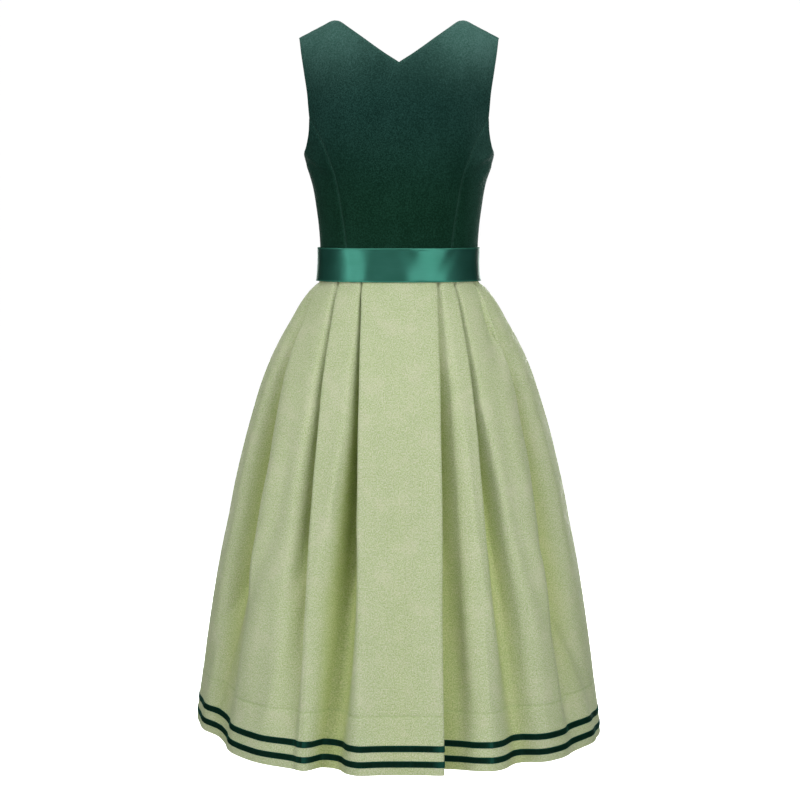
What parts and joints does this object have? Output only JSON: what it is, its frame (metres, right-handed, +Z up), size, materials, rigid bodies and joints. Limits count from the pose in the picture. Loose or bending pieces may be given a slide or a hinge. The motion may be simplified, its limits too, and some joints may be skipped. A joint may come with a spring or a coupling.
{
  "type": "dirndl dress",
  "caption": "Sleeveless midi dirndl dress in velvet and jacquard, filled out as worn: V-necked princess-seamed bodice, ribbon round the waist, pleated bell skirt with ribbons round the hem.",
  "frame": {"origin": "midway between the two shoulder seams at their mean height, where the wearer's shoulders hold the dress", "axes": "+Z up, +Y the way the wearer faces, +X toward the wearer's right; the back of the dress faces -Y"},
  "size_m": [0.627, 0.5891, 1.0954],
  "materials": {
    "velvet": "dark green cotton velvet with a soft upright nap",
    "satin": "emerald polyester satin ribbon, smooth and lustrous",
    "jacquard": "light sage tone-on-tone jacquard with a fine scroll repeat",
    "velvet_ribbon": "very dark green narrow velvet ribbon"
  },
  "bodies": {
    "root": {"bodice_back": "velvet", "bodice_side_back_left": "velvet", "bodice_side_back_right": "velvet", "bodice_side_front_left": "velvet", "bodice_side_front_right": "velvet", "bodice_front_left": "velvet", "bodice_front_right": "velvet", "waist_band": "satin", "skirt_back": "jacquard", "skirt_front": "jacquard", "hem_ribbon_upper": "velvet_ribbon", "hem_ribbon_lower": "velvet_ribbon"}
  },
  "joints": []
}
